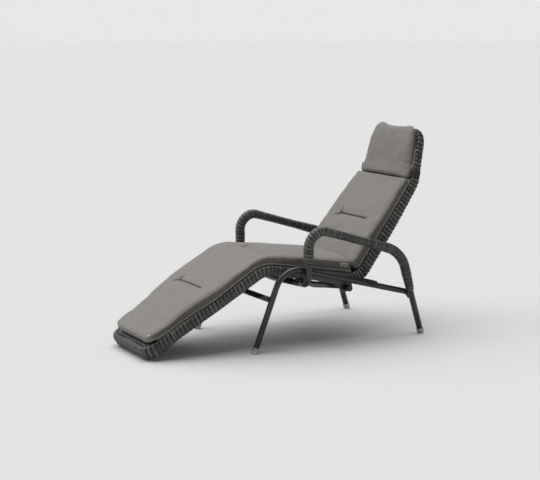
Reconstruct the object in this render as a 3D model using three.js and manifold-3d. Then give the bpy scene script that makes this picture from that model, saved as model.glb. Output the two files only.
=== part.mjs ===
// Reclining garden lounger: a one-piece woven shell that tilts on two pivots
// between the side tubes of a bent-tube base with wrapped arms.
// Millimetres. +X is the sitter's left, -Y the foot end, +Z up, floor at z = 0.
import * as THREE from 'three';
import { mergeVertices } from 'three/addons/utils/BufferGeometryUtils.js';
import Module from 'manifold-3d';

const wasm = await Module();
wasm.setup();

// ---------- driving dimensions ----------
const GAP = 0.3;                    // clearance between touching pieces
const SIDE_TUBE = 30;               // outside diameters
const ARM_TUBE = 32;
const CROSSBAR_TUBE = 28;
const TUBE_WALL = 2;
const SHELL_TUBE = 19;
const STAY_TUBE = 16;

const SIDE_X = 320;                 // side tube, beside the seat
const FRONT_FOOT = { x: 313, y: -269 };
const SIDE_KNEE = { y: -110, z: 419 };
const SIDE_REAR = { y: 637, z: 220 };
const SIDE_END = { y: 646, z: 190 };
const SIDE_BEND_R = 120;
const SIDE_END_R = 30;

const ARM_X = 354;                  // arm and rear leg
const UPRIGHT_X = 351.5;            // upright, clear of the side tube
const REAR_FOOT = { x: 352, y: 705 };
const REAR_SHOULDER = { y: 567, z: 441 };
const ARM_FRONT = { y: 15, z: 608 };
const ARM_REAR_R = 165;
const ARM_FRONT_R = 78;
const BOW_Z = { side: 321, middle: 301 };
const BOW_BEND_R = 45;
const BOW_JOINT_X = 285;
const WRAP = { width: 52, depth: 42 };
const WRAP_BOTTOM_Z = 408;
const WRAP_REAR_Z = 262;

const REAR_BOW = { y: 242, end: { x: 296, z: 288 }, bend: { x: 165, z: 266 }, middle: 246 };
const CROSSBAR = { y: -175, z: 257 };

const FERRULE = { wall: 1.9, low: 9, high: 36 };
const GLIDE_D = 33;

const PIVOT = { y: 271, z: 276 };   // recline axis, along X
const BRACKET = {
  x: 299.2, thick: 5, low: 255, front: 233, rear: 303, tongue: { front: 46, drop: 38 },
};
const BOLT_D = 10;
const KNOB = { d: 34, length: 30 };
const LUG = { x: 262, thick: 6, width: 24 };
const SPACER_D = 20;

const RECLINE_STOP = { y: 407, length: 58, rise: 8 };
const PEG = { y: 389, z: 346, d: 12, length: 17 };

const RAIL = { width: 38, depth: 46 };
const RAIL_BORE = 29.5;             // in the sleeve, round the frame tube
const HALF_WIDTH = { foot: 218, middle: 280, head: 222 };
const WIDEST_S = 1050;              // distance along the shell of the widest place
const FOOT_CORNER_R = 55;
const FOOT_DEPTH = 74;              // the shell's end is deeper than its rails
const FOOT_TAPER = 150;
const HEAD_DEPTH = 34;              // and slimmer at the head
const HEAD_TAPER = { from: 1600, to: 1850 };
const HEAD_CORNER_R = 70;
const PANEL = { thick: 7, below: 3 };   // under the top of the rails

// side profile of the shell: centre of its rails, foot end first
const PROFILE = [
  { y: -783, z: 43 },
  { y: -183, z: 404, r: 150 },
  { y: 371, z: 304, r: 95 },
  { y: 732, z: 776, r: 130 },
  { y: 792, z: 1032 },
];

const CUSHION_INSET = 16;           // from the outside of the rail
const SEAT_PAD = { from: 24, to: 1184 };
const BACK_PAD = { from: 1218, to: 1830 };
const PILLOW = { from: 1836, to: 2122, halfWidth: 200, thick: 34 };
const STRAP = { s: 1866, width: 36, thick: 2 };

// ---------- colours ----------
const finish = (color, roughness, metalness) =>
  new THREE.MeshStandardMaterial({ color, roughness, metalness });
const PAINT = finish(0x2b2d2c, 0.45, 0.5);
const WICKER = finish(0x2e302c, 0.7, 0);
const FABRIC = finish(0x8b857e, 0.95, 0);
const STRAP_CLOTH = finish(0x4a4744, 0.9, 0);
const RUBBER = finish(0x161616, 0.9, 0);
const STEEL = finish(0xb9b9b5, 0.3, 1);
const PLASTIC = finish(0x1b1c1d, 0.55, 0);
const GLIDE = finish(0xb5ab92, 0.6, 0);

const lounger = new THREE.Group();
const v3 = (x, y, z) => new THREE.Vector3(x, y, z);

function add(name, geometry, material) {
  const mesh = new THREE.Mesh(geometry, material);
  mesh.name = name;
  lounger.add(mesh);
  return mesh;
}

// makes the left and right copies of a piece; side is +1 on the left
function addPair(name, material, make) {
  for (const [label, side] of [['left', 1], ['right', -1]]) {
    add(`${name}_${label}`, make(side), material);
  }
}

// ---------- curves and sweeps ----------
// a path through given points, with a section at each of them
class PointPath extends THREE.Curve {
  constructor(points) {
    super();
    this.points = points;
  }

  getPointAt(u, target = new THREE.Vector3()) {
    const last = this.points.length - 1;
    return target.copy(this.points[Math.min(last, Math.round(u * last))]);
  }

  getTangentAt(u, target = new THREE.Vector3()) {
    const last = this.points.length - 1;
    const i = Math.round(u * last);
    const before = this.points[Math.max(0, i - 1)];
    const after = this.points[Math.min(last, i + 1)];
    const here = this.points[i];
    const arriving = here.clone().sub(before).normalize();
    const leaving = after.clone().sub(here).normalize();
    return target.copy(arriving.add(leaving)).normalize();
  }
}

// corner points joined by straight lines and round bends of each corner's radius
function bent(corners, stepDegrees = 15) {
  const points = [corners[0].p];
  for (let i = 1; i < corners.length - 1; i += 1) {
    const { p, r } = corners[i];
    const back = corners[i - 1].p.clone().sub(p).normalize();
    const on = corners[i + 1].p.clone().sub(p).normalize();
    const turn = Math.PI - back.angleTo(on);
    const reach = r * Math.tan(turn / 2);
    const start = p.clone().addScaledVector(back, reach);
    const inward = back.clone().add(on).normalize();
    const centre = p.clone().addScaledVector(inward, r / Math.cos(turn / 2));
    const axis = back.clone().cross(on).normalize();
    const steps = Math.max(2, Math.ceil(THREE.MathUtils.radToDeg(turn) / stepDegrees));
    for (let k = 0; k <= steps; k += 1) {
      const arm = start.clone().sub(centre).applyAxisAngle(axis, -turn * k / steps);
      points.push(centre.clone().add(arm));
    }
  }
  points.push(corners[corners.length - 1].p);
  return points;
}

function ovalShape(width, depth, sides) {
  const points = [];
  for (let i = 0; i < sides; i += 1) {
    const a = (i + 0.5) * 2 * Math.PI / sides;
    points.push(new THREE.Vector2(width / 2 * Math.cos(a), depth / 2 * Math.sin(a)));
  }
  return new THREE.Shape(points);
}

function sweep(points, shape) {
  const path = new PointPath(points);
  return new THREE.ExtrudeGeometry(shape, { steps: points.length - 1, extrudePath: path });
}

function tube(points, diameter, wall = TUBE_WALL, sides = 10) {
  const shape = ovalShape(diameter, diameter, sides);
  if (wall > 0) shape.holes.push(ovalShape(diameter - 2 * wall, diameter - 2 * wall, sides));
  return sweep(points, shape);
}

// a cylinder along X from x0 to x1 through (y, z), with an optional hole
function xCylinder(x0, x1, y, z, diameter, hole = 0, sides = 14) {
  const profile = [[hole / 2, 0], [diameter / 2, 0], [diameter / 2, x1 - x0], [hole / 2, x1 - x0]];
  if (hole > 0) profile.push(profile[0]);
  const lathe = new THREE.LatheGeometry(profile.map(([r, h]) => new THREE.Vector2(r, h)), sides);
  return lathe.rotateZ(-Math.PI / 2).translate(x0, y, z);
}

// ---------- joining and cutting ----------
function solid(geometry) {
  const bare = geometry.clone();
  bare.deleteAttribute('normal');
  bare.deleteAttribute('uv');
  const merged = mergeVertices(bare, 1e-3);
  const mesh = new wasm.Mesh({
    numProp: 3,
    vertProperties: new Float32Array(merged.attributes.position.array),
    triVerts: new Uint32Array(merged.index.array),
  });
  return new wasm.Manifold(mesh);
}

function geometryOf(manifold) {
  const mesh = manifold.getMesh();
  const geometry = new THREE.BufferGeometry();
  geometry.setAttribute('position', new THREE.BufferAttribute(mesh.vertProperties, 3));
  geometry.setIndex(new THREE.BufferAttribute(mesh.triVerts, 1));
  geometry.computeVertexNormals();
  return geometry;
}

// ---------- base ----------
const SIDE_SLOPE = Math.atan2(SIDE_REAR.z - SIDE_KNEE.z, SIDE_REAR.y - SIDE_KNEE.y);
const sideRailZ = (y) => SIDE_REAR.z + (y - SIDE_REAR.y) * Math.tan(SIDE_SLOPE);

const frontFootAt = (side) => v3(side * FRONT_FOOT.x, FRONT_FOOT.y, 0);
const rearFootAt = (side) => v3(side * REAR_FOOT.x, REAR_FOOT.y, 0);
const sideKneeAt = (side) => v3(side * SIDE_X, SIDE_KNEE.y, SIDE_KNEE.z);
const shoulderAt = (side) => v3(side * ARM_X, REAR_SHOULDER.y, REAR_SHOULDER.z);

// the point at height z on the straight line from a foot towards a corner
function atHeight(foot, corner, z) {
  return foot.clone().lerp(corner, z / corner.z);
}

function sideTube(side) {
  const foot = frontFootAt(side);
  const knee = sideKneeAt(side);
  return tube(bent([
    { p: atHeight(foot, knee, FERRULE.low + GAP) },
    { p: knee, r: SIDE_BEND_R },
    { p: v3(side * SIDE_X, SIDE_REAR.y, SIDE_REAR.z), r: SIDE_END_R },
    { p: v3(side * SIDE_X, SIDE_END.y, SIDE_END.z) },
  ]), SIDE_TUBE);
}

function armTube(side) {
  const foot = rearFootAt(side);
  const shoulder = shoulderAt(side);
  const bowSlope = (BOW_Z.side - BOW_Z.middle) / UPRIGHT_X;
  return tube(bent([
    { p: atHeight(foot, shoulder, FERRULE.low + GAP) },
    { p: shoulder, r: ARM_REAR_R },
    { p: v3(side * ARM_X, ARM_FRONT.y, ARM_FRONT.z), r: ARM_FRONT_R },
    { p: v3(side * UPRIGHT_X, ARM_FRONT.y, BOW_Z.side), r: BOW_BEND_R },
    { p: v3(side * BOW_JOINT_X, ARM_FRONT.y, BOW_Z.middle + bowSlope * BOW_JOINT_X) },
  ]), ARM_TUBE);
}

// woven sleeve from low on the upright, over the arm and down the rear leg
function armWrap(side) {
  const shape = ovalShape(WRAP.width, WRAP.depth, 12);
  shape.holes.push(ovalShape(ARM_TUBE + 4 * GAP, ARM_TUBE + 4 * GAP, 10));
  const foot = rearFootAt(side);
  const shoulder = shoulderAt(side);
  const front = v3(side * ARM_X, ARM_FRONT.y, ARM_FRONT.z);
  const low = v3(side * UPRIGHT_X, ARM_FRONT.y, BOW_Z.side);
  return sweep(bent([
    { p: atHeight(foot, shoulder, WRAP_REAR_Z) },
    { p: shoulder, r: ARM_REAR_R },
    { p: front, r: ARM_FRONT_R },
    { p: front.clone().lerp(low, (ARM_FRONT.z - WRAP_BOTTOM_Z) / (ARM_FRONT.z - BOW_Z.side)) },
  ]), shape);
}

function frontBow() {
  const end = BOW_JOINT_X - GAP;
  const z = BOW_Z.middle + (BOW_Z.side - BOW_Z.middle) * end / UPRIGHT_X;
  return tube(bent([
    { p: v3(end, ARM_FRONT.y, z) },
    { p: v3(0, ARM_FRONT.y, BOW_Z.middle), r: 900 },
    { p: v3(-end, ARM_FRONT.y, z) },
  ], 2), ARM_TUBE);
}

function rearBow() {
  const { y, end, bend, middle } = REAR_BOW;
  return tube(bent([
    { p: v3(end.x, y, end.z) },
    { p: v3(bend.x, y, bend.z), r: 260 },
    { p: v3(0, y, middle - 10), r: 420 },
    { p: v3(-bend.x, y, bend.z), r: 260 },
    { p: v3(-end.x, y, end.z) },
  ], 5), SIDE_TUBE);
}

// straight bar between the front legs, coped to their round faces
function frontCrossbar() {
  const ends = [1, -1].map((side) => v3(side * SIDE_X, CROSSBAR.y, CROSSBAR.z));
  let bar = solid(tube(ends, CROSSBAR_TUBE, 0, 14));
  for (const side of [1, -1]) {
    const foot = frontFootAt(side);
    const knee = sideKneeAt(side);
    const leg = tube([foot, knee], SIDE_TUBE + 2 * GAP, 0, 20);
    bar = bar.subtract(solid(leg));
  }
  const pieces = bar.decompose();
  return geometryOf(pieces.reduce((a, b) => (a.volume() > b.volume() ? a : b)));
}

addPair('side_tube', PAINT, sideTube);
addPair('arm_tube', PAINT, armTube);
addPair('arm_wicker', WICKER, armWrap);
add('front_bow', frontBow(), PAINT);
add('rear_bow', rearBow(), PAINT);
add('front_crossbar', frontCrossbar(), PAINT);

// metal ferrule around each tube end, and the plastic glide under it
function ferrule(foot, corner, tubeDiameter) {
  const inner = tubeDiameter + 4 * GAP;
  const outer = inner + 2 * FERRULE.wall;
  const shape = ovalShape(outer, outer, 16);
  shape.holes.push(ovalShape(inner, inner, 16));
  return sweep([atHeight(foot, corner, FERRULE.low + GAP), atHeight(foot, corner, FERRULE.high)], shape);
}

function glide(foot, corner) {
  const below = atHeight(foot, corner, -GLIDE_D);
  const stub = solid(tube([below, atHeight(foot, corner, FERRULE.low)], GLIDE_D, 0, 16));
  const ground = new THREE.BoxGeometry(200, 200, 100).translate(foot.x, foot.y, -50);
  return geometryOf(stub.subtract(solid(ground)));
}

for (const [end, footAt, cornerAt, d] of [
  ['front', frontFootAt, sideKneeAt, SIDE_TUBE],
  ['rear', rearFootAt, shoulderAt, ARM_TUBE],
]) {
  addPair(`${end}_ferrule`, STEEL, (side) => ferrule(footAt(side), cornerAt(side), d));
  addPair(`${end}_glide`, GLIDE, (side) => glide(footAt(side), cornerAt(side)));
}

// ---------- pivots ----------
// plate outline in (y, z), drawn in the XY plane of a shape and stood up across X
function platesAcross(outline, holes, x0, thickness) {
  const shape = new THREE.Shape(outline.map(([y, z]) => new THREE.Vector2(y, z)));
  for (const { y, z, d } of holes) {
    const centre = new THREE.Vector2(y, z);
    shape.holes.push(new THREE.Path(ovalShape(d, d, 20).getPoints().map((p) => p.add(centre))));
  }
  const plate = new THREE.ExtrudeGeometry(shape, { depth: thickness, bevelEnabled: false });
  const toWorld = new THREE.Matrix4().makeBasis(v3(0, 1, 0), v3(0, 0, 1), v3(1, 0, 0));
  return plate.applyMatrix4(toWorld).translate(x0, 0, 0);
}

// a plate welded along the inside of the side tube, with a long tongue reaching forward
function pivotBracket(side) {
  const { x, thick, low, front, rear, tongue } = BRACKET;
  const tubeZ = (y) => SIDE_KNEE.z
    + (SIDE_REAR.z - SIDE_KNEE.z) * (y - SIDE_KNEE.y) / (SIDE_REAR.y - SIDE_KNEE.y);
  const outline = [
    [tongue.front, tubeZ(tongue.front) - 6], [tongue.front, tubeZ(tongue.front) - 28],
    [tongue.front + 14, tubeZ(tongue.front + 14) - tongue.drop],
    [front - 8, tubeZ(front - 8) - tongue.drop], [front, low + 14], [front + 16, low],
    [rear - 16, low], [rear, low + 14], [rear, tubeZ(rear) - 1],
  ];
  const hole = { y: PIVOT.y, z: PIVOT.z, d: BOLT_D + 4 * GAP };
  return platesAcross(outline, [hole], side > 0 ? x : -x - thick, thick);
}

const railUndersideZ = 298;         // woven underside above the pivot

function pivotLug(side) {
  const h = LUG.width / 2;
  const outline = [
    [PIVOT.y - h, railUndersideZ - 1], [PIVOT.y - h, PIVOT.z], [PIVOT.y - 8, PIVOT.z - 11],
    [PIVOT.y + 8, PIVOT.z - 11], [PIVOT.y + h, PIVOT.z], [PIVOT.y + h, railUndersideZ - 6],
  ];
  const hole = { y: PIVOT.y, z: PIVOT.z, d: BOLT_D + 2 * GAP };
  const x0 = side > 0 ? LUG.x - LUG.thick / 2 : -LUG.x - LUG.thick / 2;
  return platesAcross(outline, [hole], x0, LUG.thick);
}

const bracketOuterX = BRACKET.x + BRACKET.thick;
const lugOuterX = LUG.x + LUG.thick / 2;
const washerOuterX = bracketOuterX + GAP + 2;

// a turned piece given for the left side and mirrored for the right
function turned(side, x0, x1, diameter, hole = 0, sides = 14) {
  const [a, b] = side > 0 ? [x0, x1] : [-x1, -x0];
  return xCylinder(a, b, PIVOT.y, PIVOT.z, diameter, hole, sides);
}

// bolt with a hexagonal head inside the lug and its shank out through the bracket
function pivotBolt(side) {
  const headX = LUG.x - LUG.thick / 2 - GAP;
  const head = solid(turned(side, headX - 7, headX, 19, 0, 6));
  const shank = solid(turned(side, headX - 1, washerOuterX + 14, BOLT_D));
  return geometryOf(head.add(shank));
}

const spacer = (side) => turned(side, lugOuterX + GAP, BRACKET.x - GAP, SPACER_D, BOLT_D + 2 * GAP);
const washer = (side) => turned(side, bracketOuterX + GAP, washerOuterX, 24, BOLT_D + 2 * GAP);

// round clamp knob with finger flutes and a blind socket for the bolt
function clampKnob(side) {
  const x0 = washerOuterX + GAP;
  let knob = solid(turned(side, x0, x0 + KNOB.length, KNOB.d, 0, 24));
  knob = knob.subtract(solid(turned(side, x0 - 1, x0 + 16, BOLT_D + 4 * GAP)));
  const flutes = 6;
  for (let i = 0; i < flutes; i += 1) {
    const a = 2 * Math.PI * i / flutes;
    const r = KNOB.d / 2 + 3;
    const flute = turned(side, x0 + 8, x0 + KNOB.length + 1, 10, 0, 10)
      .translate(0, r * Math.cos(a), r * Math.sin(a));
    knob = knob.subtract(solid(flute));
  }
  return geometryOf(knob);
}

addPair('pivot_bracket', PAINT, pivotBracket);
addPair('pivot_lug', PAINT, pivotLug);
addPair('pivot_bolt', STEEL, pivotBolt);
addPair('pivot_spacer', PLASTIC, spacer);
addPair('knob_washer', STEEL, washer);
addPair('clamp_knob', PLASTIC, clampKnob);

// ---------- stops ----------
const [, lower, upper] = PROFILE;
const SEAT_SLOPE = Math.atan2(upper.z - lower.z, upper.y - lower.y);

// pad on the front bow that the shell's rail rests on
function frontStop(side) {
  const x = 261;
  const pad = new THREE.BoxGeometry(34, 26, 30).rotateX(SEAT_SLOPE);
  const railZ = lower.z + Math.tan(SEAT_SLOPE) * (ARM_FRONT.y - lower.y);
  const topZ = railZ - (RAIL.depth / 2 + GAP) / Math.cos(SEAT_SLOPE);
  pad.translate(side * x, ARM_FRONT.y, topZ - 15 * Math.cos(SEAT_SLOPE));
  const end = BOW_Z.middle + (BOW_Z.side - BOW_Z.middle) * x / UPRIGHT_X;
  const slope = (BOW_Z.side - BOW_Z.middle) / UPRIGHT_X;
  const bow = tube([
    v3(side * (x + 40), ARM_FRONT.y, end + 40 * slope),
    v3(side * (x - 40), ARM_FRONT.y, end - 40 * slope),
  ], ARM_TUBE + 3 * GAP, 0, 20);
  return geometryOf(solid(pad).subtract(solid(bow)).decompose()[0]);
}

// buffer clipped on the side tube; its inner end catches the shell's stop peg
function rearStop(side) {
  const inner = 284;
  const outer = SIDE_X + SIDE_TUBE / 2 + 2;
  const height = SIDE_TUBE / 2 + RECLINE_STOP.rise;
  const block = new THREE.BoxGeometry(outer - inner, RECLINE_STOP.length, height).rotateX(SIDE_SLOPE);
  const z = sideRailZ(RECLINE_STOP.y);
  block.translate(side * (inner + outer) / 2, RECLINE_STOP.y, z + height / 2 * Math.cos(SIDE_SLOPE));
  const rail = tube([
    v3(side * SIDE_X, RECLINE_STOP.y - 90, sideRailZ(RECLINE_STOP.y - 90)),
    v3(side * SIDE_X, RECLINE_STOP.y + 90, sideRailZ(RECLINE_STOP.y + 90)),
  ], SIDE_TUBE + 3 * GAP, 0, 20);
  return geometryOf(solid(block).subtract(solid(rail)));
}

// peg out of the side of the shell, above the buffer
function stopPeg(side) {
  const x0 = 281;
  const [a, b] = side > 0 ? [x0, x0 + PEG.length] : [-x0 - PEG.length, -x0];
  return xCylinder(a, b, PEG.y, PEG.z, PEG.d, 0, 14);
}

addPair('front_stop', RUBBER, frontStop);
addPair('rear_stop', RUBBER, rearStop);
addPair('stop_peg', RUBBER, stopPeg);

// ---------- the shell's surface ----------
const profile = bent(PROFILE.map(({ y, z, r }) => ({ p: v3(0, y, z), r })), 12);
const stations = profile.map((_, i) => profile.slice(1, i + 1)
  .reduce((sum, p, k) => sum + p.distanceTo(profile[k]), 0));
const LENGTH = stations[stations.length - 1];

// outside half width at a distance s along the shell
function halfWidth(s) {
  const { foot, middle, head } = HALF_WIDTH;
  if (s < WIDEST_S) return middle - (middle - foot) * ((WIDEST_S - s) / WIDEST_S) ** 2.6;
  return middle - (middle - head) * ((s - WIDEST_S) / (LENGTH - WIDEST_S)) ** 2.45;
}

// a place on the shell: x across, s along the rails, n above their centre line
function onShell(x, s, n) {
  let i = 1;
  while (i < stations.length - 1 && stations[i] < s) i += 1;
  const t = (s - stations[i - 1]) / (stations[i] - stations[i - 1]);
  const tangentAt = (k) => profile[Math.min(k + 1, profile.length - 1)].clone()
    .sub(profile[Math.max(k - 1, 0)]).normalize();
  const tangent = tangentAt(i - 1).lerp(tangentAt(i), THREE.MathUtils.clamp(t, 0, 1)).normalize();
  const point = profile[i - 1].clone().lerp(profile[i], t);
  return v3(x, point.y - n * tangent.z, point.z + n * tangent.y);
}

const railCentre = (s) => halfWidth(s) - RAIL.width / 2;

// depth of the wrapped rail at a distance s along the shell
function railDepth(s) {
  const { mapLinear, clamp } = THREE.MathUtils;
  if (s < FOOT_TAPER) return mapLinear(Math.max(s, 0), 0, FOOT_TAPER, FOOT_DEPTH, RAIL.depth);
  const { from, to } = HEAD_TAPER;
  return mapLinear(clamp(s, from, to), from, to, RAIL.depth, HEAD_DEPTH);
}

// distance along the shell of a point on the rails' centre line
function stationOf(point) {
  let best = 0;
  let least = Infinity;
  for (let i = 1; i < profile.length; i += 1) {
    const line = new THREE.Line3(profile[i - 1], profile[i]);
    const flat = v3(0, point.y, point.z);
    const t = line.closestPointToPointParameter(flat, true);
    const distance = line.at(t, new THREE.Vector3()).distanceTo(flat);
    if (distance < least) {
      least = distance;
      best = stations[i - 1] + t * (stations[i] - stations[i - 1]);
    }
  }
  return best;
}

// stations that follow the bends without more sections than they need
function sectionsBetween(from, to, longest = 200) {
  const list = [from, ...stations.filter((s) => s > from + 15 && s < to - 15), to];
  const full = [];
  list.forEach((s, i) => {
    if (i > 0) {
      const pieces = Math.ceil((s - list[i - 1]) / longest);
      for (let k = 1; k < pieces; k += 1) full.push(list[i - 1] + (s - list[i - 1]) * k / pieces);
    }
    full.push(s);
  });
  return full;
}

const railPath = (side, sections) => sections.map((s) => onShell(side * railCentre(s), s, 0));

// round the end of the shell, from a joint on one rail to the same joint on the other
function endPath(sEnd, inward, radius, sJoint) {
  const sCorner = sEnd + inward * radius;
  const c = railCentre(sCorner);
  const steps = 6;
  const lead = sectionsBetween(Math.min(sCorner, sJoint), Math.max(sCorner, sJoint));
  if (inward > 0) lead.reverse();
  const points = [];
  for (const side of [1, -1]) {
    const half = railPath(side, lead);
    for (let k = 1; k <= steps; k += 1) {
      const a = Math.PI / 2 * k / steps;
      const x = side * (c - radius + radius * Math.cos(a));
      half.push(onShell(x, sEnd + inward * radius * (1 - Math.sin(a)), 0));
    }
    points.push(...(side > 0 ? half : half.reverse()));
  }
  return points;
}

const FOOT_JOINT = FOOT_TAPER;
const HEAD_JOINT = LENGTH - 100;
const footPath = endPath(0, 1, FOOT_CORNER_R, FOOT_JOINT);
const headPath = endPath(LENGTH, -1, HEAD_CORNER_R, HEAD_JOINT);

function wickerShape() {
  const { width, depth } = RAIL;
  const points = [];
  const sides = 12;
  for (let i = 0; i < sides; i += 1) {
    const a = (i + 0.5) * 2 * Math.PI / sides;
    const soft = (value) => Math.sign(value) * Math.abs(value) ** 0.75;
    points.push(new THREE.Vector2(width / 2 * soft(Math.cos(a)), depth / 2 * soft(Math.sin(a))));
  }
  const shape = new THREE.Shape(points);
  shape.holes.push(ovalShape(RAIL_BORE, RAIL_BORE, 8));
  return shape;
}

const joint = 2 * GAP;
const railSections = sectionsBetween(FOOT_JOINT + joint, HEAD_JOINT - joint);
addPair('rail_tube', PAINT, (side) => tube(railPath(side, railSections), SHELL_TUBE, 0, 8));
add('foot_tube', tube(footPath, SHELL_TUBE, 0, 8), PAINT);
add('head_tube', tube(headPath, SHELL_TUBE, 0, 8), PAINT);

// a woven sleeve along a path, with the depth that each place on the shell has
function sleeve(path) {
  const geometry = sweep(path, wickerShape());
  const stationsOfPath = path.map(stationOf);
  const place = geometry.attributes.position;
  const here = new THREE.Vector3();
  for (let i = 0; i < place.count; i += 1) {
    here.fromBufferAttribute(place, i);
    const distances = path.map((p) => p.distanceToSquared(here));
    const k = distances.indexOf(Math.min(...distances));
    const s = stationsOfPath[k];
    const up = onShell(0, s, 1).sub(onShell(0, s, 0));
    const offset = here.clone().sub(path[k]).dot(up);
    here.addScaledVector(up, offset * (railDepth(s) / RAIL.depth - 1));
    place.setXYZ(i, here.x, here.y, here.z);
  }
  return geometry;
}

addPair('rail_wicker', WICKER, (side) => sleeve(railPath(side, railSections)));
add('foot_wicker', sleeve(footPath), WICKER);
add('head_wicker', sleeve(headPath), WICKER);

// round stays from rail to rail under the weave
const STAYS = [['calf', 300], ['knee', 610], ['seat', 960], ['lumbar', 1400], ['shoulder', 1740]];
for (const [place, s] of STAYS) {
  const name = `${place}_stay`;
  const reach = railCentre(s) - RAIL.width / 2 - 5 * GAP;
  add(name, tube([onShell(reach, s, 0), onShell(-reach, s, 0)], STAY_TUBE, 0, 10), PAINT);
}

// ---------- woven panels ----------
const panelTop = (s) => Math.min(railDepth(s), RAIL.depth) / 2 - PANEL.below;

// a sheet between the rails: box geometry bent onto the shell's surface
function bentSheet(from, to, edgeAt) {
  const along = sectionsBetween(from, to);
  const box = new THREE.BoxGeometry(2, along.length - 1, 2, 2, along.length - 1, 1);
  const place = box.attributes.position;
  for (let i = 0; i < place.count; i += 1) {
    const row = Math.round(place.getY(i) + (along.length - 1) / 2);
    const s = along[row];
    const n = panelTop(s) - (place.getZ(i) > 0 ? 0 : PANEL.thick);
    const at = onShell(place.getX(i) * edgeAt(s), s, n);
    place.setXYZ(i, at.x, at.y, at.z);
  }
  return box;
}

const panelEdge = (s) => railCentre(s) - RAIL.width / 2 - 2 * GAP;
const panelFrom = RAIL.depth / 2 + 2;
const panelTo = LENGTH - RAIL.depth / 2 - 2;
const panelBreaks = [
  panelFrom + FOOT_CORNER_R * 0.4, 650, 1180, 1835, panelTo - HEAD_CORNER_R * 0.4,
];
['leg_weave', 'seat_weave', 'back_weave', 'head_weave'].forEach((name, i) => {
  add(name, bentSheet(panelBreaks[i] + joint, panelBreaks[i + 1] - joint, panelEdge), WICKER);
});

// ---------- cushions ----------
// crowned pad: box geometry whose edges are drawn in; its two ends can be rounded
function pad({ from, to }, edgeAt, thicknessAt, lowAt, roundEnds, crown = 0.14) {
  const along = sectionsBetween(from, to, 130);
  const rows = along.length - 1;
  const box = new THREE.BoxGeometry(2, rows, 2, 4, rows, 2);
  const place = box.attributes.position;
  for (let i = 0; i < place.count; i += 1) {
    const s = along[Math.round(place.getY(i) + rows / 2)];
    const across = place.getX(i);
    const level = place.getZ(i);
    const isEnd = (s === from && roundEnds[0]) || (s === to && roundEnds[1]);
    const thick = thicknessAt(s) * (isEnd ? 0.7 : 1) * (1 - crown * across ** 4);
    const bulge = level === 0 ? 1 : 0.975;
    const at = onShell(across * edgeAt(s) * bulge, s, lowAt(s) + thick * (level + 1) / 2);
    place.setXYZ(i, at.x, at.y, at.z);
  }
  return box;
}

// straight-line interpolation through [s, value] pairs
function along(pairs, s) {
  const k = Math.max(1, Math.min(pairs.length - 1, pairs.findIndex(([at]) => at >= s)));
  const [[s0, a], [s1, b]] = [pairs[k - 1], pairs[k]];
  return THREE.MathUtils.mapLinear(THREE.MathUtils.clamp(s, s0, s1), s0, s1, a, b);
}

const cushionEdge = (s) => halfWidth(s) - CUSHION_INSET;
const cushionLow = (s) => railDepth(s) / 2 + 1;
const seatThickness = (s) => along([[0, 30], [300, 46], [620, 44], [1184, 66]], s);
const backThickness = (s) => along([[1218, 62], [1600, 38], [1830, 34]], s);
const pillowLow = (s) => cushionLow(s) + STRAP.thick + 3;

const pillowEdge = () => PILLOW.halfWidth;
const pillowThickness = () => PILLOW.thick;

add('seat_cushion', pad(SEAT_PAD, cushionEdge, seatThickness, cushionLow, [true, false]), FABRIC);
add('back_cushion', pad(BACK_PAD, cushionEdge, backThickness, cushionLow, [false, true]), FABRIC);
add('head_pillow', pad(PILLOW, pillowEdge, pillowThickness, pillowLow, [true, true], 0.6), FABRIC);

// elastic band round the shell that holds the pillow
function pillowStrap() {
  const w = halfWidth(STRAP.s) + 2;
  const h = railDepth(STRAP.s) / 2 + 2;
  const box = (a, b) => [[-a, -b], [a, -b], [a, b], [-a, b]].map(([x, y]) => new THREE.Vector2(x, y));
  const shape = new THREE.Shape(box(w + STRAP.thick, h + STRAP.thick));
  shape.holes.push(new THREE.Path(box(w, h).reverse()));
  const band = new THREE.ExtrudeGeometry(shape, { depth: STRAP.width, bevelEnabled: false });
  const low = onShell(0, STRAP.s, 0);
  const along = onShell(0, STRAP.s + STRAP.width, 0).sub(low).normalize();
  const up = v3(0, -along.z, along.y);
  const frame = new THREE.Matrix4().makeBasis(v3(1, 0, 0), up, v3(1, 0, 0).cross(up));
  band.applyMatrix4(frame);
  const start = v3(1, 0, 0).cross(up).dot(along) > 0 ? low : onShell(0, STRAP.s + STRAP.width, 0);
  return band.translate(start.x, start.y, start.z);
}
add('pillow_strap', pillowStrap(), STRAP_CLOTH);

export default lounger;
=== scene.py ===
"""Looks of a reclining garden lounger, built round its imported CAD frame."""
import math

import bpy
import numpy as np
from mathutils import Matrix, Vector


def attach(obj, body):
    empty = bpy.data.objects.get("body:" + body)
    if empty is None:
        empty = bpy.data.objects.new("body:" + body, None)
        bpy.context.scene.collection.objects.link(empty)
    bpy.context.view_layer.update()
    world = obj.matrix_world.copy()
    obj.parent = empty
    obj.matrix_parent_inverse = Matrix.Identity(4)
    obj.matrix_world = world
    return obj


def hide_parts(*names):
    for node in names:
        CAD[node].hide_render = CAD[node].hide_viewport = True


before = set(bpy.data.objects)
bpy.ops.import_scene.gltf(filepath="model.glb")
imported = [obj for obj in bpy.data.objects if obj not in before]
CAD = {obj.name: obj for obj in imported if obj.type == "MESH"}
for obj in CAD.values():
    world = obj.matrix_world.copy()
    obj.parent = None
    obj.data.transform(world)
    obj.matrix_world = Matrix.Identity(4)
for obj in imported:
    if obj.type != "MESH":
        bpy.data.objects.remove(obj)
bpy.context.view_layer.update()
scene = bpy.context.scene

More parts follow.
